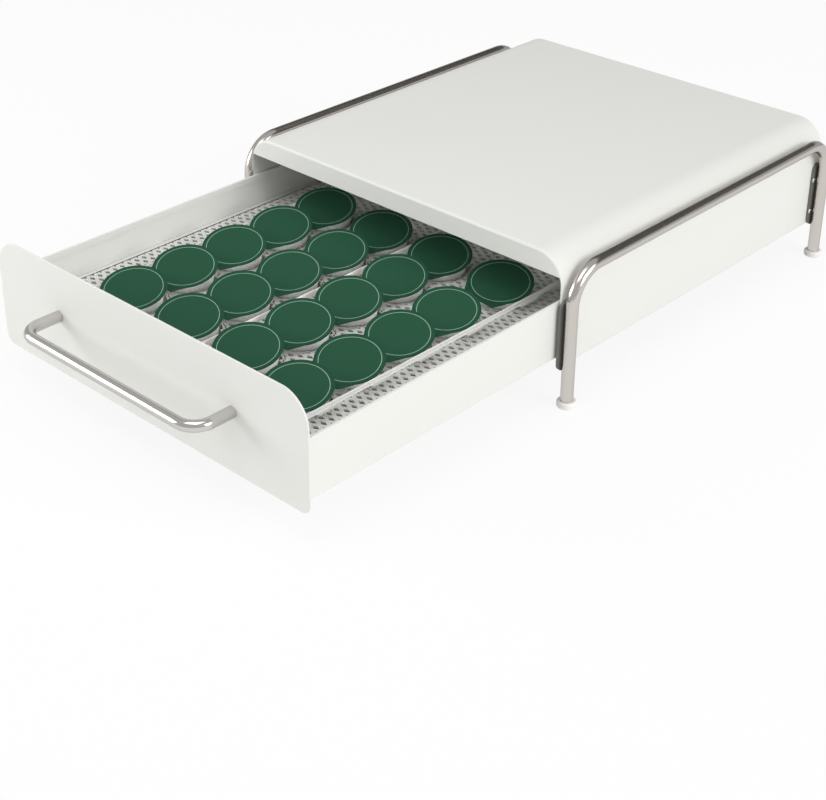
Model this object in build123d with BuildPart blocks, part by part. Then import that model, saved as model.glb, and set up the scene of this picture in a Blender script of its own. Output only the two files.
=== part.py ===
from build123d import *
import math
import os

os.makedirs("parts", exist_ok=True)

# ---------------------------------------------------------------- driving dimensions, mm
# cabinet: one bent sheet, open in front, with a lip under the front edge of its top
cover_width = 330.0
cover_depth = 356.0
cover_top = 121.0
cover_bottom = 29.5
cover_wall = 1.2
shoulder_radius = 24.0
lip_height = 16.5
lip_edge_radius = 2.0
wall_corner_radius = 5.0
back_flange = 7.0
weld_gap = 0.02

# tube frames that carry the cabinet
tube_diameter = 10.0
tube_wall = 1.0
frame_top = 109.5
frame_bend = 28.0
front_leg_inset = 4.0
rear_leg_inset = 4.0
plate_thickness = 2.0
plate_width = 14.0
plate_lead = 1.5
plate_top = 86.0
plate_bottom = 28.5
plate_screw_heights = (42.5, 71.5)
plate_screw_offset = 5.8
screw_diameter = 3.0
screw_head_diameter = 4.6
screw_head_height = 1.0
screw_fit = 0.05

# foot caps pushed into the tube ends
foot_diameter = 15.0
foot_height = 5.0
foot_edge_radius = 1.2
foot_plug_length = 14.0
foot_plug_fit = 0.03

# drawer box, folded from one sheet
drawer_side_gap = 1.0
drawer_depth = 342.0
drawer_bottom = 39.0
drawer_top = 85.0
drawer_sheet = 1.0
drawer_hem_height = 4.5
open_by = 249.0
extra_opening = 24.0

# mesh floor, raised over the drawer's bottom, with a hole for each pod
mesh_rise = 17.0
mesh_thickness = 1.2
mesh_fit = 0.3
mesh_rows = 22
mesh_columns = 13
mesh_strand = 2.6
mesh_border = 6.0
mesh_hole_clearance = 1.9
mesh_hole_rim = 2.0
support_thickness = 3.0

# slides inside the cabinet
runner_thickness = 1.5
runner_width = 14.0
glide_thickness = 2.0
glide_width = 9.0
glide_inset = 1.0
slide_gap = 0.3
guide_width = 10.0
guide_rise = 8.0
guide_setback = 5.75
slide_end_gap = 5.0
stop_drop = 6.0
stop_width = 12.0

# front panel and handle
panel_width = 328.6
panel_bottom = 27.5
panel_top = 115.4
panel_thickness = 1.5
panel_top_radius = 24.0
panel_bottom_radius = 8.0
panel_edge_radius = 0.4
rivet_diameter = 3.2
rivet_head_diameter = 6.0
rivet_head_height = 1.0
rivet_bite = 0.8
rivet_spacing_x = 270.0
rivet_spacing_z = 28.0
handle_diameter = 8.7
handle_spacing = 186.0
handle_projection = 32.9
handle_height = 75.6
handle_bend = 15.0
handle_screw_diameter = 4.0
handle_screw_depth = 9.0
handle_screw_head_diameter = 8.0
handle_screw_head_height = 2.4

# keeper rails that run from the front wall to the rear wall of the drawer
rail_wall_gap = 39.3
rail_thickness = 2.0
rail_bottom = 63.4
rail_height = 5.4
rail_tab_length = 9.0
rail_tab_thickness = 1.5
rail_rivet_diameter = 2.5
rail_rivet_head_diameter = 4.4
rail_rivet_head_height = 0.9

# pods in their leaning places
pod_columns = 4
pod_rows = 5
pod_block_margin = 34.6
pod_pitch_y = 49.9
pod_front_offset = 66.9
last_column_slide = 12.8
last_pod_slide = 2.0
pod_lean_back = 12.0
pod_lean_side = 8.0
pod_lid_diameter = 51.0
pod_lid_thickness = 0.4
pod_flange_thickness = 0.8
pod_mouth_diameter = 45.5
pod_base_diameter = 36.5
pod_depth = 26.6
pod_wall = 0.7
foil_inset = 0.4
foil_tab_reach = 27.0
foil_tab_half_width = 14.0
foil_tab_corner = 2.0
seat_gap = 0.3

# ---------------------------------------------------------------- places worked out from them
leg_offset = cover_width / 2 + plate_thickness + tube_diameter / 2
panel_front_reach = open_by + panel_thickness
handle_reach = panel_front_reach + handle_projection + handle_diameter / 2
rear_reach = cover_depth - rear_leg_inset + max(foot_diameter, tube_diameter) / 2
front_y = (handle_reach - rear_reach) / 2
back_y = front_y + cover_depth
front_leg_y = front_y + front_leg_inset
rear_leg_y = back_y - rear_leg_inset

inner_half = cover_width / 2 - cover_wall
drawer_half = inner_half - drawer_side_gap
drawer_inner_half = drawer_half - drawer_sheet
panel_back_y = front_y - open_by
panel_front_y = panel_back_y - panel_thickness
drawer_rear_y = panel_back_y + drawer_depth
drawer_inner_front_y = panel_back_y + drawer_sheet
drawer_inner_rear_y = drawer_rear_y - drawer_sheet
drawer_middle_y = (panel_back_y + drawer_rear_y) / 2
drawer_floor = drawer_bottom + drawer_sheet
mesh_bottom = drawer_floor + mesh_rise
slide_rear_y = back_y - cover_wall - back_flange - slide_end_gap
lip_bottom = cover_top - lip_height
sides = {"left": -1, "right": 1}
ends = {"front": front_leg_y, "rear": rear_leg_y}
rail_offset = drawer_inner_half - rail_wall_gap
rail_places = {"left": -rail_offset, "middle": 0.0, "right": rail_offset}
rail_tab_sides = {"left": 1, "middle": -1, "right": -1}
rail_rivet_offset = (rail_thickness + rail_tab_length) / 2
rail_rivet_rows = [rail_x + rail_tab_sides[name] * rail_rivet_offset
                   for name, rail_x in rail_places.items()]
rail_rivet_z = rail_bottom + rail_height / 2
plate_shift = plate_width / 2 - tube_diameter / 2 - plate_lead
screw_rows = (front_leg_y + plate_screw_offset, rear_leg_y - plate_screw_offset)


def arch_profile(half_width, bottom, top, radius):
    """Closed outline in the XZ plane: straight sides with two rounded top corners."""
    with BuildLine() as outline:
        Polyline((-half_width, top - radius), (-half_width, bottom), (half_width, bottom),
                 (half_width, top - radius))
        RadiusArc((half_width, top - radius), (half_width - radius, top), -radius)
        Line((half_width - radius, top), (-half_width + radius, top))
        RadiusArc((-half_width + radius, top), (-half_width, top - radius), -radius)
    return outline.line


def save(piece, name):
    piece.part.label = name
    export_step(piece.part, f"parts/{name}.step")


# ---------------------------------------------------------------- cabinet
front_plane = Plane.XZ.offset(-front_y)
with BuildPart() as cover:
    with BuildSketch(front_plane):
        make_face(arch_profile(cover_width / 2, cover_bottom, cover_top, shoulder_radius))
    extrude(amount=-cover_depth)
    front_low = cover.edges().filter_by(Axis.X).group_by(Axis.Z)[0].sort_by(Axis.Y)[0]
    fillet(front_low, wall_corner_radius)
    front_high = cover.edges().filter_by(Axis.X).group_by(Axis.Z)[-1].sort_by(Axis.Y)[0]
    fillet(front_high, lip_edge_radius)
    with BuildSketch(front_plane.offset(-cover_wall)):
        make_face(arch_profile(inner_half, cover_bottom, cover_top - cover_wall,
                               shoulder_radius - cover_wall))
    extrude(amount=-(cover_depth - cover_wall), mode=Mode.SUBTRACT)
    with BuildSketch(front_plane):
        make_face(arch_profile(inner_half, cover_bottom, cover_top - cover_wall,
                               shoulder_radius - cover_wall))
        with Locations((0, lip_bottom)):
            Rectangle(cover_width, cover_top, align=(Align.CENTER, Align.MIN), mode=Mode.SUBTRACT)
    extrude(amount=-cover_wall, mode=Mode.SUBTRACT)
    with BuildSketch(Plane.YZ):
        for screw_y in screw_rows:
            for screw_z in plate_screw_heights:
                with Locations((screw_y, screw_z)):
                    Circle(screw_diameter / 2 + screw_fit)
    extrude(amount=cover_width, both=True, mode=Mode.SUBTRACT)
save(cover, "cover")

with BuildPart() as back_panel:
    with BuildSketch(Plane.XZ.offset(-back_y)):
        make_face(arch_profile(inner_half - weld_gap, cover_bottom, cover_top - cover_wall - weld_gap,
                               shoulder_radius - cover_wall))
    extrude(amount=cover_wall)
    with BuildSketch(Plane.XY.offset(cover_bottom)):
        for side in sides.values():
            with Locations((side * (inner_half - weld_gap - cover_wall / 2),
                            back_y - cover_wall - back_flange / 2)):
                Rectangle(cover_wall, back_flange)
    extrude(amount=cover_top - shoulder_radius - cover_bottom)
save(back_panel, "back_panel")

# ---------------------------------------------------------------- slides inside the cabinet
runner_top = drawer_bottom - slide_gap - glide_thickness
runner_front_y = front_y + slide_end_gap
runner_length = slide_rear_y - runner_front_y
guide_bottom = drawer_top + slide_gap
stop_y = drawer_inner_rear_y - drawer_sheet - extra_opening - runner_thickness / 2
guide_front_y = stop_y + guide_setback
guide_length = slide_rear_y - guide_front_y
bridge_length = guide_setback + 2 * runner_thickness
for name, side in sides.items():
    wall_x = side * (inner_half - weld_gap)
    with BuildPart() as runner:
        with BuildSketch(Plane.XZ.offset(-runner_front_y)):
            with Locations((wall_x - side * runner_width / 2, runner_top - runner_thickness / 2)):
                Rectangle(runner_width, runner_thickness)
            with Locations((wall_x - side * runner_thickness / 2,
                            (cover_bottom + runner_top) / 2)):
                Rectangle(runner_thickness, runner_top - cover_bottom)
        extrude(amount=-runner_length)
    save(runner, f"runner_{name}")

    with BuildPart() as glide:
        with BuildSketch(Plane.XY.offset(runner_top)):
            with Locations((wall_x - side * (runner_width - glide_width / 2 - glide_inset),
                            runner_front_y + runner_length / 2)):
                Rectangle(glide_width, runner_length)
        extrude(amount=glide_thickness)
    save(glide, f"glide_{name}")

    with BuildPart() as guide:
        with BuildSketch(Plane.XZ.offset(-guide_front_y)):
            with Locations((wall_x - side * guide_width / 2, guide_bottom + runner_thickness / 2)):
                Rectangle(guide_width, runner_thickness)
            with Locations((wall_x - side * runner_thickness / 2, guide_bottom + guide_rise / 2)):
                Rectangle(runner_thickness, guide_rise)
        extrude(amount=-guide_length)
        # the front end turns down inside the drawer and stops its rear wall
        stop_x = side * (drawer_inner_half - drawer_sheet - slide_gap - stop_width / 2)
        with BuildSketch(Plane.XY.offset(guide_bottom + runner_thickness)):
            with Locations((stop_x, stop_y)):
                Rectangle(stop_width, runner_thickness)
        extrude(amount=-(stop_drop + runner_thickness))
        bridge_reach = abs(wall_x) - abs(stop_x) + stop_width / 2
        with BuildSketch(Plane.XY.offset(guide_bottom)):
            with Locations((wall_x - side * bridge_reach / 2,
                            stop_y + (bridge_length - runner_thickness) / 2)):
                Rectangle(bridge_reach, bridge_length)
        extrude(amount=runner_thickness)
    save(guide, f"guide_{name}")

# ---------------------------------------------------------------- tube frames
for name, side in sides.items():
    tube_x = side * leg_offset
    with BuildPart() as side_frame:
        with BuildLine(Plane.YZ.offset(tube_x)) as tube_path:
            FilletPolyline((front_leg_y, foot_height), (front_leg_y, frame_top),
                           (rear_leg_y, frame_top), (rear_leg_y, foot_height), radius=frame_bend)
        with BuildSketch(Plane.XY.offset(foot_height)):
            with Locations((tube_x, front_leg_y)):
                Circle(tube_diameter / 2)
                Circle(tube_diameter / 2 - tube_wall, mode=Mode.SUBTRACT)
        sweep(path=tube_path.line)
    save(side_frame, f"side_frame_{name}")

    for end, leg_y in ends.items():
        inward = 1 if end == "front" else -1
        plate_y = leg_y + inward * plate_shift
        with BuildPart() as plate:
            with BuildSketch(Plane.YZ.offset(side * cover_width / 2)):
                with Locations((plate_y, (plate_top + plate_bottom) / 2)):
                    SlotOverall(plate_top - plate_bottom, plate_width, rotation=90)
                for screw_z in plate_screw_heights:
                    with Locations((leg_y + inward * plate_screw_offset, screw_z)):
                        Circle(screw_diameter / 2 + screw_fit, mode=Mode.SUBTRACT)
            extrude(amount=side * plate_thickness)
        save(plate, f"frame_plate_{end}_{name}")

        with BuildPart() as foot:
            with BuildSketch():
                with Locations((tube_x, leg_y)):
                    Circle(foot_diameter / 2)
            extrude(amount=foot_height)
            fillet(foot.edges().filter_by(GeomType.CIRCLE), foot_edge_radius)
            with BuildSketch(Plane.XY.offset(foot_height)):
                with Locations((tube_x, leg_y)):
                    Circle(tube_diameter / 2 - tube_wall - foot_plug_fit)
            extrude(amount=foot_plug_length)
        save(foot, f"foot_{end}_{name}")

for name, side in sides.items():
    head_x = side * (cover_width / 2 + plate_thickness)
    shank_length = plate_thickness + cover_wall - screw_fit
    with BuildPart() as frame_screws:
        for screw_y in screw_rows:
            for screw_z in plate_screw_heights:
                with BuildSketch(Plane.YZ.offset(head_x)):
                    with Locations((screw_y, screw_z)):
                        Circle(screw_head_diameter / 2)
                extrude(amount=side * screw_head_height)
                with BuildSketch(Plane.YZ.offset(head_x)):
                    with Locations((screw_y, screw_z)):
                        Circle(screw_diameter / 2)
                extrude(amount=-side * shank_length)
    save(frame_screws, f"frame_screws_{name}")

# ---------------------------------------------------------------- drawer
with BuildPart() as drawer_box:
    with BuildSketch(Plane.XY.offset(drawer_bottom)):
        with Locations((0, drawer_middle_y)):
            Rectangle(2 * drawer_half, drawer_depth)
            Rectangle(2 * drawer_inner_half, drawer_depth - 2 * drawer_sheet, mode=Mode.SUBTRACT)
    extrude(amount=drawer_top - drawer_bottom)
    with BuildSketch(Plane.XY.offset(drawer_bottom)):
        with Locations((0, drawer_middle_y)):
            Rectangle(2 * drawer_half, drawer_depth)
    extrude(amount=drawer_sheet)
    # the top edges are folded over inwards, on the sides and at the rear
    with BuildSketch(Plane.XY.offset(drawer_top - drawer_hem_height)):
        with Locations((0, drawer_middle_y)):
            Rectangle(2 * drawer_half, drawer_depth)
        with Locations((0, drawer_middle_y - drawer_sheet / 2)):
            Rectangle(2 * (drawer_inner_half - drawer_sheet), drawer_depth - 3 * drawer_sheet,
                      mode=Mode.SUBTRACT)
    extrude(amount=drawer_hem_height)
    with BuildSketch(Plane.XZ.offset(-panel_back_y)):
        with GridLocations(rivet_spacing_x, rivet_spacing_z, 2, 2):
            with Locations((0, (drawer_top + drawer_bottom) / 2)):
                Circle(rivet_diameter / 2 + screw_fit)
        for handle_x in (-handle_spacing / 2, handle_spacing / 2):
            with Locations((handle_x, handle_height)):
                Circle(handle_screw_diameter / 2 + screw_fit)
    extrude(amount=-drawer_sheet, mode=Mode.SUBTRACT)
    with BuildSketch(Plane.XZ.offset(-drawer_middle_y)):
        for rivet_x in rail_rivet_rows:
            with Locations((rivet_x, rail_rivet_z)):
                Circle(rail_rivet_diameter / 2 + screw_fit)
    extrude(amount=drawer_depth, both=True, mode=Mode.SUBTRACT)
save(drawer_box, "drawer_box")

# ---------------------------------------------------------------- front panel
panel_middle_z = (panel_top + panel_bottom) / 2
with BuildPart() as front_panel:
    with BuildSketch(Plane.XZ.offset(-panel_front_y)) as panel_outline:
        with Locations((0, panel_middle_z)):
            Rectangle(panel_width, panel_top - panel_bottom)
        fillet(panel_outline.vertices().group_by(Axis.Y)[-1], panel_top_radius)
        fillet(panel_outline.vertices().group_by(Axis.Y)[0], panel_bottom_radius)
    extrude(amount=-panel_thickness)
    rim = front_panel.faces().filter_by(Axis.Y).sort_by(Axis.Y)[0].edges()
    fillet(rim, panel_edge_radius)
    with BuildSketch(Plane.XZ.offset(-panel_back_y)):
        with Locations((0, (drawer_top + drawer_bottom) / 2)):
            with GridLocations(rivet_spacing_x, rivet_spacing_z, 2, 2):
                Circle(rivet_diameter / 2 + screw_fit)
    extrude(amount=rivet_bite + screw_fit, mode=Mode.SUBTRACT)
    with BuildSketch(Plane.XZ.offset(-panel_back_y)):
        for handle_x in (-handle_spacing / 2, handle_spacing / 2):
            with Locations((handle_x, handle_height)):
                Circle(handle_screw_diameter / 2 + screw_fit)
    extrude(amount=panel_thickness, mode=Mode.SUBTRACT)
save(front_panel, "front_panel")

inner_front_plane = Plane.XZ.offset(-drawer_inner_front_y)
with BuildPart() as front_panel_rivets:
    with BuildSketch(inner_front_plane):
        with Locations((0, (drawer_top + drawer_bottom) / 2)):
            with GridLocations(rivet_spacing_x, rivet_spacing_z, 2, 2):
                Circle(rivet_head_diameter / 2)
    extrude(amount=-rivet_head_height)
    with BuildSketch(inner_front_plane):
        with Locations((0, (drawer_top + drawer_bottom) / 2)):
            with GridLocations(rivet_spacing_x, rivet_spacing_z, 2, 2):
                Circle(rivet_diameter / 2)
    extrude(amount=drawer_sheet + rivet_bite)
save(front_panel_rivets, "front_panel_rivets")

# ---------------------------------------------------------------- handle
handle_front_y = panel_front_y - handle_projection
with BuildPart() as handle:
    with BuildLine(Plane.XY.offset(handle_height)) as handle_path:
        FilletPolyline((-handle_spacing / 2, panel_front_y), (-handle_spacing / 2, handle_front_y),
                       (handle_spacing / 2, handle_front_y), (handle_spacing / 2, panel_front_y),
                       radius=handle_bend)
    with BuildSketch(Plane.XZ.offset(-panel_front_y)):
        with Locations((-handle_spacing / 2, handle_height)):
            Circle(handle_diameter / 2)
    sweep(path=handle_path.line)
    with BuildSketch(Plane.XZ.offset(-panel_front_y)):
        for handle_x in (-handle_spacing / 2, handle_spacing / 2):
            with Locations((handle_x, handle_height)):
                Circle(handle_screw_diameter / 2 + screw_fit)
    extrude(amount=handle_screw_depth + screw_fit, mode=Mode.SUBTRACT)
save(handle, "handle")

with BuildPart() as handle_screws:
    for handle_x in (-handle_spacing / 2, handle_spacing / 2):
        with BuildSketch(inner_front_plane):
            with Locations((handle_x, handle_height)):
                Circle(handle_screw_head_diameter / 2)
        extrude(amount=-handle_screw_head_height)
        with BuildSketch(inner_front_plane):
            with Locations((handle_x, handle_height)):
                Circle(handle_screw_diameter / 2)
        extrude(amount=drawer_sheet + panel_thickness + handle_screw_depth)
save(handle_screws, "handle_screws")

# ---------------------------------------------------------------- keeper rails
rail_length = drawer_inner_rear_y - drawer_inner_front_y
rail_rivet_length = weld_gap + rail_tab_thickness + drawer_sheet - screw_fit
for name, rail_x in rail_places.items():
    tab_side = rail_tab_sides[name]
    with BuildPart() as rail:
        with BuildSketch(Plane.XY.offset(rail_bottom)):
            with Locations((rail_x, drawer_middle_y)):
                Rectangle(rail_thickness, rail_length - 2 * weld_gap)
            for tab_y in (drawer_inner_front_y + weld_gap + rail_tab_thickness / 2,
                          drawer_inner_rear_y - weld_gap - rail_tab_thickness / 2):
                with Locations((rail_x + tab_side * (rail_thickness + rail_tab_length) / 2, tab_y)):
                    Rectangle(rail_tab_length, rail_tab_thickness)
        extrude(amount=rail_height)
        with BuildSketch(Plane.XZ.offset(-drawer_middle_y)):
            with Locations((rail_x + tab_side * rail_rivet_offset, rail_rivet_z)):
                Circle(rail_rivet_diameter / 2 + screw_fit)
        extrude(amount=drawer_depth, both=True, mode=Mode.SUBTRACT)
    save(rail, f"rail_{name}")

with BuildPart() as rail_rivets:
    for rivet_x in rail_rivet_rows:
        for face_y, inward in ((drawer_inner_front_y + weld_gap + rail_tab_thickness, 1),
                               (drawer_inner_rear_y - weld_gap - rail_tab_thickness, -1)):
            with BuildSketch(Plane.XZ.offset(-face_y)):
                with Locations((rivet_x, rail_rivet_z)):
                    Circle(rail_rivet_head_diameter / 2)
            extrude(amount=-inward * rail_rivet_head_height)
            with BuildSketch(Plane.XZ.offset(-face_y)):
                with Locations((rivet_x, rail_rivet_z)):
                    Circle(rail_rivet_diameter / 2)
            extrude(amount=inward * rail_rivet_length)
save(rail_rivets, "rail_rivets")

# ---------------------------------------------------------------- places of the pods
pod_tilt = Plane(Location((0, 0, 0), (pod_lean_back, pod_lean_side, 0)))
normal = pod_tilt.z_dir
tilt = math.acos(normal.Z)
mouth_radius = pod_mouth_diameter / 2
base_radius = pod_base_diameter / 2
lid_radius = pod_lid_diameter / 2
pod_body_depth = pod_depth + pod_flange_thickness
lid_middle_z = drawer_floor + seat_gap + base_radius * math.sin(tilt) + pod_body_depth * normal.Z
pod_pitch_x = 2 * (drawer_inner_half - pod_block_margin) / pod_columns
pod_places = []
for row in range(pod_rows):
    for column in range(pod_columns):
        lid_x = (column - (pod_columns - 1) / 2) * pod_pitch_x
        lid_y = panel_back_y + pod_front_offset + row * pod_pitch_y
        if column == pod_columns - 1:
            lid_y -= last_pod_slide if row == pod_rows - 1 else last_column_slide
        pod_places.append((row, column, Vector(lid_x, lid_y, lid_middle_z)))

# ---------------------------------------------------------------- mesh floor and its supports
mesh_width = 2 * (drawer_inner_half - mesh_fit)
mesh_length = drawer_depth - 2 * (drawer_sheet + mesh_fit)
mesh_pitch_x = (mesh_width - 2 * mesh_border) / mesh_columns
mesh_pitch_y = (mesh_length - 2 * mesh_border) / mesh_rows
gap_half_x = (mesh_pitch_x - mesh_strand) / 2
gap_half_y = (mesh_pitch_y - mesh_strand) / 2
mesh_drop = (lid_middle_z - mesh_bottom - mesh_thickness / 2) / normal.Z
taper = (mouth_radius - base_radius) / pod_depth
hole_radius = (mouth_radius - taper * mesh_drop) / math.cos(tilt) + mesh_hole_clearance
hole_places = [tuple(place - normal * mesh_drop)[:2] for row, column, place in pod_places]
with BuildPart() as mesh_floor:
    with BuildSketch(Plane.XY.offset(mesh_bottom)):
        with Locations((0, drawer_middle_y)):
            Rectangle(mesh_width, mesh_length)
            with GridLocations(mesh_pitch_x, mesh_pitch_y, mesh_columns, mesh_rows):
                Polygon((-gap_half_x, 0), (0, -gap_half_y), (gap_half_x, 0), (0, gap_half_y),
                        mode=Mode.SUBTRACT)
        with Locations(hole_places):
            Circle(hole_radius + mesh_hole_rim)
        with Locations(hole_places):
            Circle(hole_radius, mode=Mode.SUBTRACT)
    extrude(amount=mesh_thickness)
save(mesh_floor, "mesh_floor")

with BuildPart() as mesh_supports:
    with BuildSketch(Plane.XY.offset(drawer_floor)):
        with Locations((0, drawer_middle_y)):
            with GridLocations(pod_pitch_x, mesh_length, pod_columns - 1, 1):
                Rectangle(support_thickness, mesh_length)
    extrude(amount=mesh_rise)
save(mesh_supports, "mesh_supports")

# ---------------------------------------------------------------- pods
for row, column, lid_middle in pod_places:
    with BuildPart() as pod:
        with BuildSketch(Plane(origin=lid_middle, x_dir=pod_tilt.x_dir, z_dir=-pod_tilt.y_dir)):
            with BuildLine():
                Polyline((0, -pod_body_depth), (base_radius, -pod_body_depth),
                         (mouth_radius, -pod_flange_thickness), (lid_radius, -pod_flange_thickness),
                         (lid_radius, 0), (mouth_radius - pod_wall, 0),
                         (base_radius - pod_wall, -pod_body_depth + pod_wall),
                         (0, -pod_body_depth + pod_wall), close=True)
            make_face()
        revolve(axis=Axis(lid_middle, normal))
    save(pod, f"pod_cup_{row + 1}_{column + 1}")

tab_corner_x = foil_tab_half_width - foil_tab_corner
tab_corner_y = foil_tab_corner - foil_tab_reach
for lid_row in range(pod_rows):
    with BuildPart() as pod_lids:
        for row, column, lid_middle in pod_places:
            if row == lid_row:
                with BuildSketch(Plane(origin=lid_middle, x_dir=pod_tilt.x_dir, z_dir=normal)):
                    Circle(lid_radius - foil_inset)
                    with Locations((-tab_corner_x, tab_corner_y), (tab_corner_x, tab_corner_y)):
                        Circle(foil_tab_corner)
                    make_hull()
                extrude(amount=pod_lid_thickness)
    save(pod_lids, f"pod_lids_row_{lid_row + 1}")

print("lid centre height", round(lid_middle_z, 2), "front of cabinet at Y", round(front_y, 2))
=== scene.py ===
import math

import bmesh
import bpy
from mathutils import Matrix, Vector


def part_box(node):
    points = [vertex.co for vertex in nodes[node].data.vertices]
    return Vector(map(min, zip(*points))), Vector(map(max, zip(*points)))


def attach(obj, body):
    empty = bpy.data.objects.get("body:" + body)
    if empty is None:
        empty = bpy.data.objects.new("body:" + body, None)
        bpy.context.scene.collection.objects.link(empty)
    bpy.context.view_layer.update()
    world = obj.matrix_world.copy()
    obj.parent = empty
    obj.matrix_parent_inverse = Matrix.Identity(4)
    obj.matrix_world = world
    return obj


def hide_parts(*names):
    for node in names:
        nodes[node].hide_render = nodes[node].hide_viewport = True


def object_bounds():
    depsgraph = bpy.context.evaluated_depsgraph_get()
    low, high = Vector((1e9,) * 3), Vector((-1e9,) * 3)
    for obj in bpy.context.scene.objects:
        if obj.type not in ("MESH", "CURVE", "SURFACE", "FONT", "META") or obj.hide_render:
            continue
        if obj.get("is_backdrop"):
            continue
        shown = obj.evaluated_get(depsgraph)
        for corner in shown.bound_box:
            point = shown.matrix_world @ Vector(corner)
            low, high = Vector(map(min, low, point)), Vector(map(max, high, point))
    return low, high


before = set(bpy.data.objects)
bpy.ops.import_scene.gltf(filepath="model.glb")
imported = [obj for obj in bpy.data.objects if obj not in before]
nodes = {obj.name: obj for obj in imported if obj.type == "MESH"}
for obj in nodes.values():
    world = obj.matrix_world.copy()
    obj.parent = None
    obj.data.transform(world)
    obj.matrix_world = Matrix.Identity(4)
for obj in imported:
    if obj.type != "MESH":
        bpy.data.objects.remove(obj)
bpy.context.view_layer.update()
print("stage: frame loaded,", len(nodes), "nodes")

bpy.ops.object.select_all(action="DESELECT")

near = 0.0001  # metres: what lies this close counts as the same place



def onlySelect(piece):
    bpy.ops.object.select_all(action="DESELECT")
    piece.select_set(True)
    bpy.context.view_layer.objects.active = piece


def startEdit(piece):
    onlySelect(piece)
    bpy.ops.object.mode_set(mode="EDIT")


def endEdit():
    bpy.ops.object.mode_set(mode="OBJECT")


def pick(piece, kind, test):
    # selects, in edit mode, the vertices, edges or faces that pass the test
    bpy.ops.mesh.select_all(action="DESELECT")
    bpy.ops.mesh.select_mode(type=kind)
    grid = bmesh.from_edit_mesh(piece.data)
    items = {"VERT": grid.verts, "EDGE": grid.edges, "FACE": grid.faces}[kind]
    items.ensure_lookup_table()
    for item in items:
        if test(item):
            item.select_set(True)
    grid.select_flush_mode()
    bmesh.update_edit_mesh(piece.data)


def middle(item):
    return sum((v.co for v in item.verts), Vector()) / len(item.verts)


def fixNormals():
    bpy.ops.mesh.select_all(action="SELECT")
    bpy.ops.mesh.remove_doubles(threshold=0.000005)
    bpy.ops.mesh.normals_make_consistent(inside=False)


def placeMesh(piece):
    # the piece's place, turn and size go into its mesh
    onlySelect(piece)
    bpy.ops.object.transform_apply(location=True, rotation=True, scale=True)


def addBlock(place, size):
    # a box to shape further
    bpy.ops.mesh.primitive_cube_add(size=1, location=place)
    block = bpy.context.object
    block.scale = size
    placeMesh(block)
    return block


def keepBand(piece, width):
    # leaves only the outer band of a flat face
    startEdit(piece)
    bpy.ops.mesh.select_all(action="SELECT")
    bpy.ops.mesh.inset(thickness=width, depth=0)
    bpy.ops.mesh.delete(type="FACE")
    endEdit()


def applyModifier(piece, kind, **settings):
    onlySelect(piece)
    modifier = piece.modifiers.new(kind.lower(), kind)
    for key, value in settings.items():
        setattr(modifier, key, value)
    bpy.ops.object.modifier_apply(modifier=modifier.name)


def smooth(piece, degrees=35):
    onlySelect(piece)
    bpy.ops.object.shade_smooth_by_angle(angle=math.radians(degrees))


def copyOf(piece, name):
    twin = piece.copy()
    twin.data = piece.data.copy()
    twin.name = name
    twin.data.name = name
    bpy.context.scene.collection.objects.link(twin)
    return twin


def removePiece(piece):
    mesh = piece.data
    bpy.data.objects.remove(piece)
    bpy.data.meshes.remove(mesh)


def joinPieces(parts, name):
    bpy.ops.object.select_all(action="DESELECT")
    for part in parts:
        part.select_set(True)
    bpy.context.view_layer.objects.active = parts[0]
    if len(parts) > 1:
        bpy.ops.object.join()
    parts[0].name = name
    parts[0].data.name = name
    return parts[0]


def setMaterials(piece, *materials):
    piece.data.materials.clear()
    for material in materials:
        piece.data.materials.append(material)


# shader groups that several materials share


def newGroup(name, inputs, outputs):
    group = bpy.data.node_groups.new(name, "ShaderNodeTree")
    for label, kind, value in inputs:
        socket = group.interface.new_socket(name=label, in_out="INPUT", socket_type=kind)
        socket.default_value = value
    for label, kind in outputs:
        group.interface.new_socket(name=label, in_out="OUTPUT", socket_type=kind)
    return group, group.nodes.new("NodeGroupInput"), group.nodes.new("NodeGroupOutput")


def node(tree, kind, **settings):
    made = tree.nodes.new(kind)
    for key, value in settings.items():
        if key in made.inputs:
            made.inputs[key].default_value = value
        else:
            setattr(made, key, value)
    return made


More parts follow.
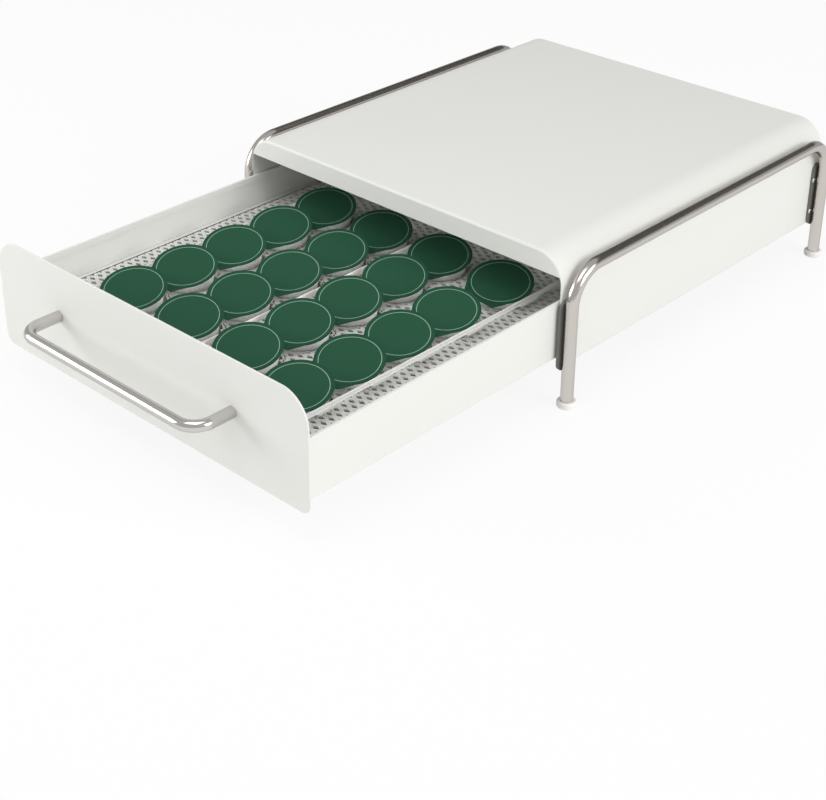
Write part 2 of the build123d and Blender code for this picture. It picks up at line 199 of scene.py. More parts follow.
def makePowderCoat():
    # fine orange peel and slow tone changes of a baked coat
    group, given, result = newGroup("powderCoat", [
        ("Base", "NodeSocketColor", (0.8, 0.8, 0.78, 1)), ("Tone Spread", "NodeSocketFloat", 0.02),
        ("Roughness", "NodeSocketFloat", 0.4), ("Roughness Spread", "NodeSocketFloat", 0.06),
        ("Peel Scale", "NodeSocketFloat", 900.0), ("Peel Height", "NodeSocketFloat", 0.06)],
        [("Color", "NodeSocketColor"), ("Roughness", "NodeSocketFloat"), ("Normal", "NodeSocketVector")])
    link = group.links.new
    place = node(group, "ShaderNodeTexCoord")
    cloud = node(group, "ShaderNodeTexNoise", Scale=9.0, Detail=3.0)
    peel = node(group, "ShaderNodeTexNoise", Detail=2.0, Roughness=0.45)
    link(place.outputs["Object"], cloud.inputs["Vector"])
    link(place.outputs["Object"], peel.inputs["Vector"])
    link(given.outputs["Peel Scale"], peel.inputs["Scale"])
    centred = node(group, "ShaderNodeMath", operation="SUBTRACT")
    centred.inputs[1].default_value = 0.5
    link(cloud.outputs["Fac"], centred.inputs[0])
    tone = node(group, "ShaderNodeMath", operation="MULTIPLY")
    link(centred.outputs[0], tone.inputs[0])
    link(given.outputs["Tone Spread"], tone.inputs[1])
    lift = node(group, "ShaderNodeMath", operation="ADD")
    lift.inputs[1].default_value = 1.0
    link(tone.outputs[0], lift.inputs[0])
    shade = node(group, "ShaderNodeVectorMath", operation="SCALE")
    link(given.outputs["Base"], shade.inputs[0])
    link(lift.outputs[0], shade.inputs["Scale"])
    link(shade.outputs[0], result.inputs["Color"])
    rough = node(group, "ShaderNodeMath", operation="MULTIPLY_ADD")
    link(centred.outputs[0], rough.inputs[0])
    link(given.outputs["Roughness Spread"], rough.inputs[1])
    link(given.outputs["Roughness"], rough.inputs[2])
    link(rough.outputs[0], result.inputs["Roughness"])
    bump = node(group, "ShaderNodeBump", Distance=0.0001)
    link(given.outputs["Peel Height"], bump.inputs["Strength"])
    link(peel.outputs["Fac"], bump.inputs["Height"])
    link(bump.outputs["Normal"], result.inputs["Normal"])
    return group


def makeBrushedMetal():
    # hairlines: fine noise, long along two axes and short across the third
    group, given, result = newGroup("brushedMetal", [
        ("Base", "NodeSocketColor", (0.6, 0.58, 0.55, 1)), ("Tone Spread", "NodeSocketFloat", 0.1),
        ("Roughness", "NodeSocketFloat", 0.25), ("Roughness Spread", "NodeSocketFloat", 0.12),
        ("Across", "NodeSocketVector", (4000.0, 12.0, 12.0)),
        ("Line Height", "NodeSocketFloat", 0.1)],
        [("Color", "NodeSocketColor"), ("Roughness", "NodeSocketFloat"), ("Normal", "NodeSocketVector")])
    link = group.links.new
    place = node(group, "ShaderNodeTexCoord")
    stretch = node(group, "ShaderNodeVectorMath", operation="MULTIPLY")
    link(place.outputs["Object"], stretch.inputs[0])
    link(given.outputs["Across"], stretch.inputs[1])
    hair = node(group, "ShaderNodeTexNoise", Scale=1.0, Detail=4.0, Roughness=0.6)
    link(stretch.outputs[0], hair.inputs["Vector"])
    smudge = node(group, "ShaderNodeTexNoise", Scale=35.0, Detail=3.0)
    link(place.outputs["Object"], smudge.inputs["Vector"])
    centred = node(group, "ShaderNodeMath", operation="SUBTRACT")
    centred.inputs[1].default_value = 0.5
    link(hair.outputs["Fac"], centred.inputs[0])
    tone = node(group, "ShaderNodeMath", operation="MULTIPLY_ADD")
    tone.inputs[2].default_value = 1.0
    link(centred.outputs[0], tone.inputs[0])
    link(given.outputs["Tone Spread"], tone.inputs[1])
    shade = node(group, "ShaderNodeVectorMath", operation="SCALE")
    link(given.outputs["Base"], shade.inputs[0])
    link(tone.outputs[0], shade.inputs["Scale"])
    link(shade.outputs[0], result.inputs["Color"])
    mixed = node(group, "ShaderNodeMath", operation="ADD")
    link(centred.outputs[0], mixed.inputs[0])
    smudged = node(group, "ShaderNodeMath", operation="SUBTRACT")
    smudged.inputs[1].default_value = 0.5
    link(smudge.outputs["Fac"], smudged.inputs[0])
    link(smudged.outputs[0], mixed.inputs[1])
    rough = node(group, "ShaderNodeMath", operation="MULTIPLY_ADD")
    link(mixed.outputs[0], rough.inputs[0])
    link(given.outputs["Roughness Spread"], rough.inputs[1])
    link(given.outputs["Roughness"], rough.inputs[2])
    link(rough.outputs[0], result.inputs["Roughness"])
    bump = node(group, "ShaderNodeBump", Distance=0.00005)
    link(given.outputs["Line Height"], bump.inputs["Strength"])
    link(hair.outputs["Fac"], bump.inputs["Height"])
    link(bump.outputs["Normal"], result.inputs["Normal"])
    return group


powderCoat = makePowderCoat()
brushedMetal = makeBrushedMetal()


def newMaterial(name, group, values, **shaderValues):
    material = bpy.data.materials.new(name)
    material.use_nodes = True
    tree = material.node_tree
    shader = tree.nodes["Principled BSDF"]
    finish = tree.nodes.new("ShaderNodeGroup")
    finish.node_tree = group
    for key, value in values.items():
        finish.inputs[key].default_value = value
    tree.links.new(finish.outputs["Color"], shader.inputs["Base Color"])
    tree.links.new(finish.outputs["Roughness"], shader.inputs["Roughness"])
    tree.links.new(finish.outputs["Normal"], shader.inputs["Normal"])
    for key, value in shaderValues.items():
        shader.inputs[key.replace("_", " ")].default_value = value
    return material


def paintEdgeShade(material, strength=0.55, power=2.2):
    # painted shade: the base colour of round metal is darkened along its outline, where it is seen edge-on
    tree = material.node_tree
    shader = tree.nodes["Principled BSDF"]
    colour = shader.inputs["Base Color"].links[0].from_socket
    facing = tree.nodes.new("ShaderNodeLayerWeight")
    facing.inputs["Blend"].default_value = 0.5
    curve = node(tree, "ShaderNodeMath", operation="POWER")
    curve.inputs[1].default_value = power
    shade = node(tree, "ShaderNodeMath", operation="MULTIPLY_ADD")
    shade.inputs[1].default_value, shade.inputs[2].default_value = -strength, 1.0
    mixed = node(tree, "ShaderNodeVectorMath", operation="SCALE")
    tree.links.new(facing.outputs["Facing"], curve.inputs[0])
    tree.links.new(curve.outputs[0], shade.inputs[0])
    tree.links.new(colour, mixed.inputs[0])
    tree.links.new(shade.outputs[0], mixed.inputs["Scale"])
    tree.links.new(mixed.outputs[0], shader.inputs["Base Color"])


# materials
whitePaint = newMaterial("whitePaint", powderCoat, {
    "Base": (0.77, 0.775, 0.745, 1), "Roughness": 0.42, "Tone Spread": 0.015, "Peel Height": 0.05},
    Specular_IOR_Level=0.3)
# painted shade: the frame plates are dark grey to stand in for the shadow between the cover wall and the
# tube
darkPaint = newMaterial("darkPaint", powderCoat, {
    "Base": (0.15, 0.147, 0.14, 1), "Roughness": 0.5, "Tone Spread": 0.15, "Peel Height": 0.12})
meshPaint = newMaterial("meshPaint", powderCoat, {
    "Base": (0.76, 0.76, 0.74, 1), "Roughness": 0.42, "Tone Spread": 0.04, "Peel Height": 0.1,
    "Peel Scale": 1400.0})
footPlastic = newMaterial("footPlastic", powderCoat, {
    "Base": (0.87, 0.855, 0.835, 1), "Roughness": 0.38, "Tone Spread": 0.05, "Peel Scale": 2200.0,
    "Peel Height": 0.04}, Subsurface_Weight=0.08, Subsurface_Scale=0.002)
glidePlastic = newMaterial("glidePlastic", powderCoat, {
    "Base": (0.72, 0.72, 0.69, 1), "Roughness": 0.45, "Tone Spread": 0.05})
railPlastic = newMaterial("railPlastic", powderCoat, {
    "Base": (0.84, 0.84, 0.815, 1), "Roughness": 0.33, "Tone Spread": 0.03, "Peel Scale": 1600.0,
    "Peel Height": 0.08}, Subsurface_Weight=0.25, Subsurface_Scale=0.003)
cupPlastic = newMaterial("cupPlastic", powderCoat, {
    "Base": (0.93, 0.935, 0.92, 1), "Roughness": 0.35, "Tone Spread": 0.02, "Peel Scale": 1800.0,
    "Peel Height": 0.04}, Subsurface_Weight=0.2, Subsurface_Scale=0.002)
lidGreen = newMaterial("lidGreen", powderCoat, {
    "Base": (0.022, 0.083, 0.047, 1), "Roughness": 0.6, "Tone Spread": 0.08, "Peel Scale": 700.0,
    "Peel Height": 0.1, "Roughness Spread": 0.1}, Specular_IOR_Level=0.05)
lidRim = newMaterial("lidRim", powderCoat, {
    "Base": (0.019, 0.073, 0.042, 1), "Roughness": 0.6, "Tone Spread": 0.1, "Peel Scale": 1100.0,
    "Peel Height": 0.2}, Specular_IOR_Level=0.05)
lidRing = newMaterial("lidRing", powderCoat, {
    "Base": (0.30, 0.46, 0.36, 1), "Roughness": 0.6, "Tone Spread": 0.1, "Peel Scale": 900.0,
    "Peel Height": 0.1}, Specular_IOR_Level=0.05)
tubeSteel = newMaterial("tubeSteel", brushedMetal, {
    "Base": (0.62, 0.585, 0.55, 1), "Roughness": 0.2, "Roughness Spread": 0.08, "Tone Spread": 0.12,
    "Across": (3500.0, 14.0, 14.0), "Line Height": 0.12}, Metallic=1.0)
# painted shade along the outline of the frame tubes
paintEdgeShade(tubeSteel)
rodSteel = newMaterial("rodSteel", brushedMetal, {
    "Base": (0.64, 0.625, 0.60, 1), "Roughness": 0.15, "Roughness Spread": 0.08, "Tone Spread": 0.1,
    "Across": (14.0, 14.0, 3500.0), "Line Height": 0.1}, Metallic=1.0)
# painted shade along the outline of the handle rod
paintEdgeShade(rodSteel)
fastenerSteel = newMaterial("fastenerSteel", brushedMetal, {
    "Base": (0.66, 0.65, 0.63, 1), "Roughness": 0.26, "Tone Spread": 0.1,
    "Across": (900.0, 900.0, 900.0), "Line Height": 0.15}, Metallic=1.0)
# the CAD nodes that stay, by the start of their names
cadLooks = {
    "cover": whitePaint, "back_panel": whitePaint, "runner": whitePaint, "guide": whitePaint,
    # the frame plates take the dark grey of the painted shade between wall and tube
    "glide": glidePlastic, "side_frame": tubeSteel, "frame_plate": darkPaint, "foot": footPlastic,
    "drawer_box": whitePaint, "front_panel": whitePaint, "handle": rodSteel, "mesh_supports": meshPaint,
}
for name, cadPiece in nodes.items():
    for start, material in cadLooks.items():
        if name == start or name.startswith(start + "_"):
            setMaterials(cadPiece, material)
print("stage: materials")

# coffee pods: one cup and one lid, copied twenty times
pod = {
    "lidRadius": 0.0255, "mouthRadius": 0.02275, "baseRadius": 0.01825, "depth": 0.0274,
    "flange": 0.0008, "leanFront": math.radians(12), "leanSide": math.radians(8),
    "rows": 5, "columns": 4,
}
cupShape = {
    "ribs": 40, "ribDepth": 0.00035, "baseTrim": 0.0004, "mouthTrim": 0.0001,
    "footRing": 0.0022, "footWall": 0.0005, "footDepth": 0.0011, "footFloor": 0.006,
    "footEdge": 0.0003, "flangeTrim": 0.0003, "flangeEdge": 0.0002,
}
lidShape = {
    "foil": 0.0004, "discShare": 0.7, "trim": 0.0001, "slope": 0.0003, "beadRise": 0.00012,
    "bead": 0.0012, "beadFall": 0.00014, "ringShare": 0.865, "ringWidth": 0.00045,
    "ringRise": 0.00002, "middleStep": 0.0002, "tabShare": 0.5, "tabLift": 0.3, "tabReach": 0.027,
    "tabHalf": 0.0137, "tabRoot": (0.0215, 0.0129), "tabCorner": 0.0016,
}


def makeCup():
    sides = cupShape["ribs"] * 3
    bpy.ops.mesh.primitive_cone_add(
        vertices=sides, radius1=pod["baseRadius"] - cupShape["baseTrim"],
        radius2=pod["mouthRadius"] - cupShape["mouthTrim"], depth=pod["depth"] - pod["flange"],
        end_fill_type="NGON", location=(0, 0, -(pod["depth"] + pod["flange"]) / 2))
    cup = bpy.context.object
    placeMesh(cup)
    startEdit(cup)
    # ribs: every third side line is pulled inwards
    step = math.tau / sides
    pick(cup, "VERT", lambda v: round(math.atan2(v.co.y, v.co.x) / step) % 3 == 1)
    share = 1 - cupShape["ribDepth"] / pod["mouthRadius"]
    bpy.ops.transform.resize(value=(share, share, 1), center_override=(0, 0, 0))
    # the base keeps a raised ring round a sunken floor
    pick(cup, "FACE", lambda f: len(f.verts) > 8 and middle(f).z < -pod["depth"] + near)
    bpy.ops.mesh.inset(thickness=cupShape["footRing"], depth=0)
    bpy.ops.mesh.inset(thickness=cupShape["footWall"], depth=-cupShape["footDepth"])
    bpy.ops.mesh.inset(thickness=cupShape["footFloor"], depth=0)
    pick(cup, "EDGE", lambda e: all(abs(v.co.z + pod["depth"]) < near / 10 for v in e.verts)
         and all(v.co.to_2d().length > pod["baseRadius"] - cupShape["footRing"] / 2 for v in e.verts))
    bpy.ops.mesh.bevel(offset=cupShape["footEdge"], segments=2)
    fixNormals()
    endEdit()
    bpy.ops.mesh.primitive_cylinder_add(vertices=96, radius=pod["lidRadius"] - cupShape["flangeTrim"],
                                        depth=pod["flange"], location=(0, 0, -pod["flange"] / 2))
    flange = bpy.context.object
    placeMesh(flange)
    applyModifier(flange, "BEVEL", width=cupShape["flangeEdge"], segments=2,
                  angle_limit=math.radians(40))
    cup = joinPieces([cup, flange], "cupModel")
    smooth(cup, 50)
    setMaterials(cup, cupPlastic)
    return cup


def makeLid():
    radius = pod["lidRadius"] - lidShape["trim"]
    ringRadius = lidShape["ringShare"] * pod["lidRadius"]
    innerRadius = radius - 2 * lidShape["slope"] - lidShape["bead"]
    disc = lidShape["foil"] * lidShape["discShare"]
    bpy.ops.mesh.primitive_cylinder_add(vertices=96, radius=radius, depth=disc, end_fill_type="NGON",
                                        location=(0, 0, disc / 2))
    lid = bpy.context.object
    placeMesh(lid)
    setMaterials(lid, lidRim, lidGreen, lidRing)
    startEdit(lid)
    # from the edge inwards: a raised bead, a flat band, the thin ring, the flat middle
    pick(lid, "FACE", lambda f: len(f.verts) > 8 and middle(f).z > disc * 0.98)
    bpy.ops.mesh.inset(thickness=lidShape["slope"], depth=lidShape["beadRise"])
    bpy.ops.mesh.inset(thickness=lidShape["bead"], depth=0)
    bpy.ops.mesh.inset(thickness=lidShape["slope"], depth=-lidShape["beadFall"])
    bpy.ops.mesh.inset(thickness=innerRadius - ringRadius - lidShape["ringWidth"] / 2,
                       depth=lidShape["ringRise"])
    bpy.ops.mesh.inset(thickness=lidShape["ringWidth"], depth=0)
    bpy.ops.mesh.inset(thickness=lidShape["middleStep"], depth=0)
    endEdit()
    # inside the bead the foil is green, and the ring is paler
    for face in lid.data.polygons:
        reach = max(lid.data.vertices[i].co.to_2d().length for i in face.vertices)
        if face.normal.z > 0.5 and reach < innerRadius + near:
            face.material_index = 1
            if abs(reach - ringRadius - lidShape["ringWidth"] / 2) < near:
                face.material_index = 2
    # the pull tab of the foil, at the front
    rootX, rootY = lidShape["tabRoot"]
    tab = addBlock((0, -(rootY + lidShape["tabReach"]) / 2, lidShape["foil"] * lidShape["tabLift"]),
                   (2 * rootX, lidShape["tabReach"] - rootY, lidShape["foil"] * lidShape["tabShare"]))
    startEdit(tab)
    tabEnd = -lidShape["tabReach"] + near
    pick(tab, "VERT", lambda v: v.co.y < tabEnd)
    bpy.ops.transform.resize(value=(lidShape["tabHalf"] / rootX, 1, 1), center_override=(0, 0, 0))
    pick(tab, "EDGE", lambda e: abs(e.verts[0].co.z - e.verts[1].co.z) > near
         and middle(e).y < tabEnd)
    bpy.ops.mesh.bevel(offset=lidShape["tabCorner"], segments=4)
    endEdit()
    setMaterials(tab, lidRim)
    lid = joinPieces([lid, tab], "lidModel")
    smooth(lid, 30)
    return lid


podLean = Matrix.Rotation(pod["leanFront"], 3, "X") @ Matrix.Rotation(pod["leanSide"], 3, "Y")
podAxis = podLean @ Vector((0, 0, 1))


def podPlace(row, column):
    # the middle of the flange's top, from the box of the CAD cup
    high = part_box(f"pod_cup_{row}_{column}")[1]
    reach = Vector([pod["lidRadius"] * math.sqrt(1 - part ** 2) for part in podAxis])
    reach.y -= podAxis.y * pod["flange"]
    return high - reach


cupModel, lidModel = makeCup(), makeLid()
for row in range(1, pod["rows"] + 1):
    rowLids = []
    for column in range(1, pod["columns"] + 1):
        for model, name in ((cupModel, f"podCup_{row}_{column}"), (lidModel, f"podLid_{row}_{column}")):
            piece = copyOf(model, name)
            piece.rotation_mode = "YXZ"
            piece.rotation_euler = (pod["leanFront"], pod["leanSide"], 0)
            piece.location = podPlace(row, column)
            placeMesh(piece)
            if model is cupModel:
                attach(piece, "drawer")
                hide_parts(f"pod_cup_{row}_{column}")
            else:
                rowLids.append(piece)
    lids = joinPieces(rowLids, f"podLids_{row}")
    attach(lids, "drawer")
    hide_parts(f"pod_lids_row_{row}")
removePiece(cupModel)
removePiece(lidModel)
print("stage: pods")

# expanded mesh floor: a grid turned into diamonds
floorMesh = {
    "pitchX": 0.0128, "pitchY": 0.0072, "strand": 0.0029, "thinner": 0.0001, "rim": 0.0016,
    "rimEdge": 0.0003, "clearance": 0.0019, "border": 0.004, "borderEdge": 0.0002,
}


def makeMeshFloor():
    low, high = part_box("mesh_floor")
    width, length, thickness = high.x - low.x, high.y - low.y, high.z - low.z
    centre = ((low.x + high.x) / 2, (low.y + high.y) / 2, high.z)
    edge = floorMesh["border"]
    countX = round((width - 2 * edge) / floorMesh["pitchX"])
    countY = round((length - 2 * edge) / floorMesh["pitchY"])
    stepX, stepY = (width - 2 * edge) / countX, (length - 2 * edge) / countY
    bpy.ops.mesh.primitive_grid_add(x_subdivisions=countX, y_subdivisions=countY, size=1,
                                    location=centre)
    sheet = bpy.context.object
    sheet.scale = (countX * stepX, countY * stepY, 1)
    placeMesh(sheet)
    startEdit(sheet)
    bpy.ops.mesh.select_all(action="SELECT")
    bpy.ops.mesh.poke()

    def onGrid(vertex):
        gridX, gridY = (vertex.co.x - low.x - edge) / stepX, (vertex.co.y - low.y - edge) / stepY
        return abs(gridX - round(gridX)) < 0.1 and abs(gridY - round(gridY)) < 0.1

    # the straight grid lines go, the diagonals stay as the strands of the diamonds
    pick(sheet, "EDGE", lambda e: len(e.link_faces) == 2 and all(onGrid(v) for v in e.verts))
    bpy.ops.mesh.dissolve_edges(use_verts=False)
    bpy.ops.mesh.select_mode(type="FACE")
    bpy.ops.mesh.select_all(action="SELECT")
    bpy.ops.mesh.inset(thickness=floorMesh["strand"] / 2, depth=0, use_individual=True)
    bpy.ops.mesh.delete(type="FACE")
    # a hole for each pod, round the place where its leaning body passes the mesh
    drop = (podPlace(1, 1).z - (low.z + high.z) / 2) / podAxis.z
    taper = (pod["mouthRadius"] - pod["baseRadius"]) / (pod["depth"] - pod["flange"])
    hole = (pod["mouthRadius"] - taper * drop) / podAxis.z + floorMesh["clearance"]
    holes = [podPlace(row, column) - podAxis * drop for row in range(1, pod["rows"] + 1)
             for column in range(1, pod["columns"] + 1)]
    pick(sheet, "FACE", lambda f: min((middle(f) - at).to_2d().length for at in holes)
         < hole + floorMesh["rim"] / 2)
    bpy.ops.mesh.delete(type="FACE")
    endEdit()
    applyModifier(sheet, "SOLIDIFY", thickness=thickness - floorMesh["thinner"], offset=-1.0)
    # a plain rim round each hole
    rims = []
    for at in holes:
        bpy.ops.mesh.primitive_circle_add(vertices=64, radius=hole + floorMesh["rim"],
                                          fill_type="NGON", location=(at.x, at.y, high.z))
        rim = bpy.context.object
        placeMesh(rim)
        keepBand(rim, floorMesh["rim"])
        applyModifier(rim, "SOLIDIFY", thickness=thickness, offset=-1.0)
        applyModifier(rim, "BEVEL", width=floorMesh["rimEdge"], segments=2)
        rims.append(rim)
    # a plain border round the diamonds
    bpy.ops.mesh.primitive_plane_add(size=1, location=centre)
    border = bpy.context.object
    border.scale = (width, length, 1)
    placeMesh(border)
    keepBand(border, edge + floorMesh["strand"] / 2)
    applyModifier(border, "SOLIDIFY", thickness=thickness, offset=-1.0)
    applyModifier(border, "BEVEL", width=floorMesh["borderEdge"], segments=1)
    made = joinPieces([sheet, border, *rims], "meshFloor")
    setMaterials(made, meshPaint)
    return made


meshFloor = makeMeshFloor()
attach(meshFloor, "drawer")
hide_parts("mesh_floor")
print("stage: mesh floor", len(meshFloor.data.polygons), "faces")

# keeper rails: a strip with a beaded, scalloped lower edge and a bent tab at each end
rail = {
    "strip": 0.0012, "stripInset": 0.001, "segments": 80, "scallop": 0.0022, "lowHalf": 0.009,
    "bead": 0.0008, "beadTop": 0.0028, "edge": 0.00025, "tab": 0.0015, "tabReach": 0.009,
    "tabOverlap": 0.001, "tabCorner": 0.002, "tabEdge": 0.0002,
}


def makeRail(name, side):
    low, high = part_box(f"rail_{name}")
    centreY, centreZ = (low.y + high.y) / 2, (low.z + high.z) / 2
    stripX = low.x + rail["stripInset"] if side > 0 else high.x - rail["stripInset"]
    strip = addBlock((stripX, centreY, centreZ), (rail["strip"], high.y - low.y, high.z - low.z))
    startEdit(strip)
    for cut in range(1, rail["segments"]):
        bpy.ops.mesh.select_all(action="SELECT")
        bpy.ops.mesh.bisect(plane_co=(0, low.y + (high.y - low.y) * cut / rail["segments"], 0),
                            plane_no=(0, 1, 0))
    bpy.ops.mesh.select_all(action="SELECT")
    bpy.ops.mesh.bisect(plane_co=(0, 0, low.z + rail["beadTop"]), plane_no=(0, 0, 1))
    # the lower edge rises between the pods of the column beside it
    column = {"left": 1, "middle": 3, "right": 4}[name]
    rows = [sum(v.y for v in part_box(f"pod_cup_{row}_{column}")) / 2 for row in range(1, pod["rows"] + 1)]
    pick(strip, "VERT", lambda v: v.co.z < low.z + near
         and min(abs(v.co.y - at) for at in rows) > rail["lowHalf"])
    bpy.ops.transform.translate(value=(0, 0, rail["scallop"]))
    # a bead along the lower edge, on the right of the right rail and on the left of the others
    outward = 1 if name == "right" else -1
    pick(strip, "FACE", lambda f: f.normal.x * outward > 0.9 and middle(f).z < low.z + rail["beadTop"])
    bpy.ops.mesh.extrude_region_move(TRANSFORM_OT_translate={"value": (outward * rail["bead"], 0, 0)})
    fixNormals()
    endEdit()
    applyModifier(strip, "BEVEL", width=rail["edge"], segments=2, angle_limit=math.radians(40))
    parts = [strip]
    for tabY in (low.y + rail["tab"] / 2, high.y - rail["tab"] / 2):
        tab = addBlock((stripX + side * rail["tabReach"] / 2, tabY, centreZ),
                       (rail["tabReach"] + rail["tabOverlap"], rail["tab"], high.z - low.z))
        startEdit(tab)
        pick(tab, "EDGE", lambda e: abs(e.verts[0].co.y - e.verts[1].co.y) > rail["tab"] / 2
             and (middle(e).x - stripX) * side > rail["tabReach"] / 2)
        bpy.ops.mesh.bevel(offset=rail["tabCorner"], segments=4)
        endEdit()
        applyModifier(tab, "BEVEL", width=rail["tabEdge"], segments=2, angle_limit=math.radians(40))
        parts.append(tab)
    made = joinPieces(parts, f"keeperRail_{name}")
    setMaterials(made, railPlastic)
    smooth(made, 30)
    return made


# side is the way that the tabs point
for name, side in (("left", 1), ("middle", -1), ("right", -1)):
    made = makeRail(name, side)
    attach(made, "drawer")
    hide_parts(f"rail_{name}")
print("stage: rails")

# fasteners: domed heads, with a cross recess or plain; each kind has its radius and height
fastener = {
    "screw": (0.0023, 0.001), "panelRivet": (0.003, 0.001), "handleScrew": (0.004, 0.0024),
    "railRivet": (0.0022, 0.0009), "domeShare": 0.7, "crossLength": 1.1, "crossWidth": 0.2,
    "crossDepth": 0.5,
}


def makeHead(kind, recessed):
    radius, height = fastener[kind]
    bpy.ops.mesh.primitive_cylinder_add(vertices=40, radius=radius, depth=height,
                                        location=(0, 0, height / 2))
    head = bpy.context.object
    placeMesh(head)
    startEdit(head)
    pick(head, "EDGE", lambda e: min(v.co.z for v in e.verts) > height - near / 2)
    bpy.ops.mesh.bevel(offset=height * fastener["domeShare"], segments=5)
    endEdit()
    if recessed:
        long, narrow = radius * fastener["crossLength"], radius * fastener["crossWidth"]
        for size in ((long, narrow), (narrow, long)):
            blade = addBlock((0, 0, height), (*size, height * fastener["crossDepth"] * 2))
            applyModifier(head, "BOOLEAN", operation="DIFFERENCE", object=blade, solver="EXACT")
            removePiece(blade)
    smooth(head, 40)
    setMaterials(head, fastenerSteel)
    return head


def placeHeads(nodeName, kind, places, facing, pieceName, body, recessed=True):
    # facing is the direction that the heads' tops look in
    head = makeHead(kind, recessed)
    parts = []
    for number, at in enumerate(places):
        one = copyOf(head, f"{pieceName}{number}")
        one.rotation_mode = "QUATERNION"
        one.rotation_quaternion = Vector(facing).to_track_quat("Z", "Y")
        one.location = at
        placeMesh(one)
        parts.append(one)
    removePiece(head)
    made = joinPieces(parts, pieceName)
    made.rotation_mode = "XYZ"
    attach(made, body)
    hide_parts(nodeName)


for name, facing in (("left", -1), ("right", 1)):
    low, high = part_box(f"frame_screws_{name}")
    radius, height = fastener["screw"]
    headX = high.x - height if facing > 0 else low.x + height
    placeHeads(f"frame_screws_{name}", "screw",
               [(headX, y, z) for y in (low.y + radius, high.y - radius)
                for z in (low.z + radius, high.z - radius)],
               (facing, 0, 0), f"frameScrewHeads_{name}", "cabinet")
low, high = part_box("front_panel_rivets")
radius, height = fastener["panelRivet"]
placeHeads("front_panel_rivets", "panelRivet",
           [(x, high.y - height, z) for x in (low.x + radius, high.x - radius)
            for z in (low.z + radius, high.z - radius)],
           (0, 1, 0), "panelRivetHeads", "drawer", recessed=False)
low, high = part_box("handle_screws")
radius, height = fastener["handleScrew"]
placeHeads("handle_screws", "handleScrew",
           [(x, high.y - height, (low.z + high.z) / 2) for x in (low.x + radius, high.x - radius)],
           (0, 1, 0), "handleScrewHeads", "drawer")
low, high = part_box("rail_rivets")
railLow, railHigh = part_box("rail_middle")
radius, height = fastener["railRivet"]
rivetRows = (low.x + radius, (railLow.x + railHigh.x - 2 * rail["stripInset"]) / 2, high.x - radius)
for wall, faceY, facing in (("front", railLow.y + rail["tab"], 1), ("rear", railHigh.y - rail["tab"], -1)):
    placeHeads("rail_rivets", "railRivet", [(x, faceY, (low.z + high.z) / 2) for x in rivetRows],
               (0, facing, 0), f"railRivetHeads_{wall}", "drawer", recessed=False)
print("stage: fasteners")

# camera, solved from the photograph's straight edges; focal, wide, high and middleY are in pixels
camera = {
    "place": (0.794836, -0.873495, 0.644855), "focal": 1646.7635, "wide": 826, "high": 800,
    "middleY": 275.0, "right": (0.731106, 0.682216, 0.008145),
    "down": (0.318187, -0.330381, -0.888597), "ahead": (-0.603524, 0.652250, -0.458616),
    "sensor": 36.0, "clip": (0.05, 30.0),
}
lens = bpy.data.cameras.new("camera")
eye = bpy.data.objects.new("camera", lens)
bpy.context.scene.collection.objects.link(eye)
turn = Matrix((camera["right"], [-v for v in camera["down"]], [-v for v in camera["ahead"]])).transposed()
eye.matrix_world = Matrix.Translation(camera["place"]) @ turn.to_4x4()
lens.sensor_fit = "HORIZONTAL"
lens.sensor_width = camera["sensor"]
lens.lens = camera["focal"] / camera["wide"] * camera["sensor"]
lens.shift_x = 0.0
lens.shift_y = (camera["middleY"] - camera["high"] / 2) / camera["wide"]
lens.clip_start, lens.clip_end = camera["clip"]
bpy.context.scene.camera = eye
bpy.context.scene.view_settings.view_transform = "Standard"

# studio: pale floor, three soft boxes and one dark card that only reflections see
studio = {
    "floorSize": 14.0, "floorColour": (0.86, 0.86, 0.85, 1), "floorRough": 0.9, "shadowShare": 0.88,
    "ambient": 0.56, "ambientColour": (1.0, 1.0, 0.985, 1), "white": (1, 1, 1, 1), "aim": (0, 0, 0.06),
    "cardColour": (0.12, 0.12, 0.115, 1),
}
softBoxes = {  # place, size in metres, watts
    "rightBox": ((2.5, 0.3, 1.2), (1.6, 1.2), 36),
    "frontLeftBox": ((-1.35, -1.3, 0.62), (1.2, 0.9), 15.5),
    "topBox": ((0.15, -0.45, 1.1), (0.7, 0.7), 3.2),
}


def seenBy(tree, firstRay, secondRay):
    # 1 where either kind of ray looks, otherwise 0
    path = node(tree, "ShaderNodeLightPath")
    seen = node(tree, "ShaderNodeMath", operation="MAXIMUM")
    tree.links.new(path.outputs[firstRay], seen.inputs[0])
    tree.links.new(path.outputs[secondRay], seen.inputs[1])
    return seen.outputs[0]


def makeFloorMaterial():
    # nearly white to the camera and in reflections, with a faint shadow
    material = bpy.data.materials.new("studioFloor")
    material.use_nodes = True
    tree = material.node_tree
    surface = tree.nodes["Principled BSDF"]
    surface.inputs["Base Color"].default_value = studio["floorColour"]
    surface.inputs["Roughness"].default_value = studio["floorRough"]
    surface.inputs["Specular IOR Level"].default_value = 0.0
    glow = node(tree, "ShaderNodeEmission")
    glow.inputs["Color"].default_value = studio["white"]
    glow.inputs["Strength"].default_value = 1.0
    share = node(tree, "ShaderNodeMath", operation="MULTIPLY")
    share.inputs[1].default_value = studio["shadowShare"]
    blend = node(tree, "ShaderNodeMixShader")
    tree.links.new(seenBy(tree, "Is Camera Ray", "Is Glossy Ray"), share.inputs[0])
    tree.links.new(share.outputs[0], blend.inputs["Fac"])
    tree.links.new(surface.outputs[0], blend.inputs[1])
    tree.links.new(glow.outputs[0], blend.inputs[2])
    tree.links.new(blend.outputs[0], tree.nodes["Material Output"].inputs["Surface"])
    return material


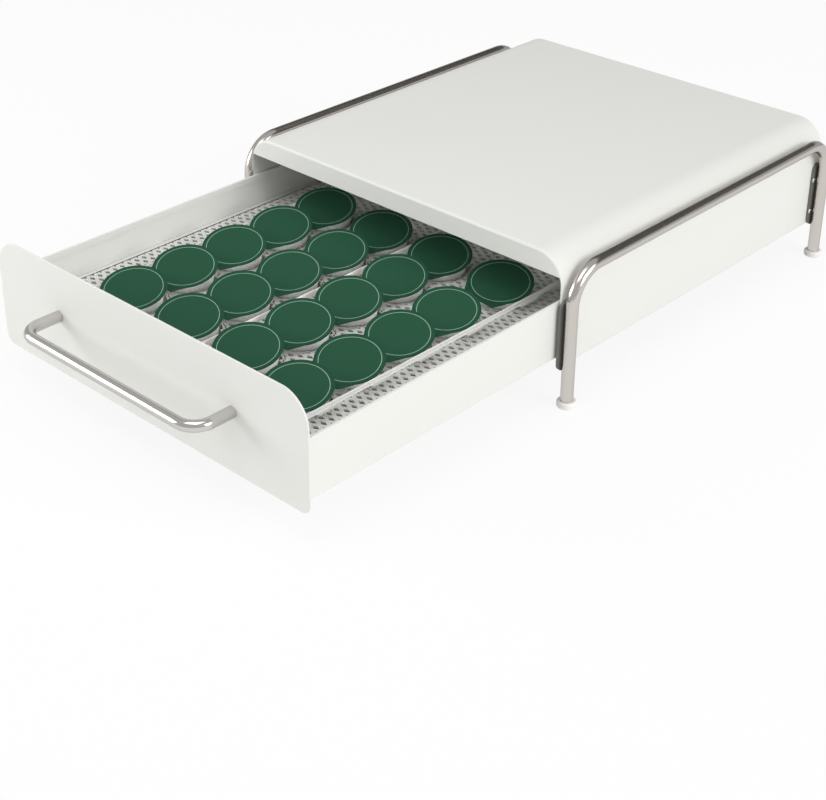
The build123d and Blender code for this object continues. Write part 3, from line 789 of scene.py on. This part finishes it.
def makeSky():
    # lights the part evenly, and is white to the camera and through clear things
    world = bpy.data.worlds.new("studio")
    bpy.context.scene.world = world
    world.use_nodes = True
    tree = world.node_tree
    light = tree.nodes["Background"]
    light.inputs["Color"].default_value = studio["ambientColour"]
    light.inputs["Strength"].default_value = studio["ambient"]
    white = node(tree, "ShaderNodeBackground")
    white.inputs["Color"].default_value = studio["white"]
    white.inputs["Strength"].default_value = 1.0
    blend = node(tree, "ShaderNodeMixShader")
    tree.links.new(seenBy(tree, "Is Camera Ray", "Is Transmission Ray"), blend.inputs["Fac"])
    tree.links.new(light.outputs[0], blend.inputs[1])
    tree.links.new(white.outputs[0], blend.inputs[2])
    tree.links.new(blend.outputs[0], tree.nodes["World Output"].inputs["Surface"])


def softBox(name, place, size, power):
    lamp = bpy.data.lights.new(name, "AREA")
    lamp.shape = "RECTANGLE"
    lamp.size, lamp.size_y = size
    lamp.energy = power
    holder = bpy.data.objects.new(name, lamp)
    bpy.context.scene.collection.objects.link(holder)
    holder.location = place
    towards = Vector(studio["aim"]) - Vector(place)
    holder.rotation_euler = towards.to_track_quat("-Z", "Y").to_euler()


def makeCard(name, place, size):
    # only glossy reflections see it
    material = bpy.data.materials.new("darkCard")
    material.use_nodes = True
    surface = material.node_tree.nodes["Principled BSDF"]
    surface.inputs["Base Color"].default_value = studio["cardColour"]
    surface.inputs["Roughness"].default_value = 1.0
    bpy.ops.mesh.primitive_plane_add(size=1, location=place)
    card = bpy.context.object
    card.name = name
    card.scale = (*size, 1)
    towards = Vector(studio["aim"]) - Vector(place)
    card.rotation_euler = towards.to_track_quat("Z", "Y").to_euler()
    setMaterials(card, material)
    card.visible_camera = False
    card.visible_diffuse = False
    card.visible_shadow = False
    card.visible_transmission = False
    card.visible_volume_scatter = False
    card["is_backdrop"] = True


bpy.ops.mesh.primitive_plane_add(size=studio["floorSize"], location=(0, 0, 0))
ground = bpy.context.object
ground.name = "studioFloor"
setMaterials(ground, makeFloorMaterial())
ground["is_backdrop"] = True
makeSky()
for name, (place, size, power) in softBoxes.items():
    softBox(name, place, size, power)
makeCard("darkCardBack", (0.0, 2.2, 1.9), (7.0, 1.5))

low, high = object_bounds()
print("stage: studio and camera")
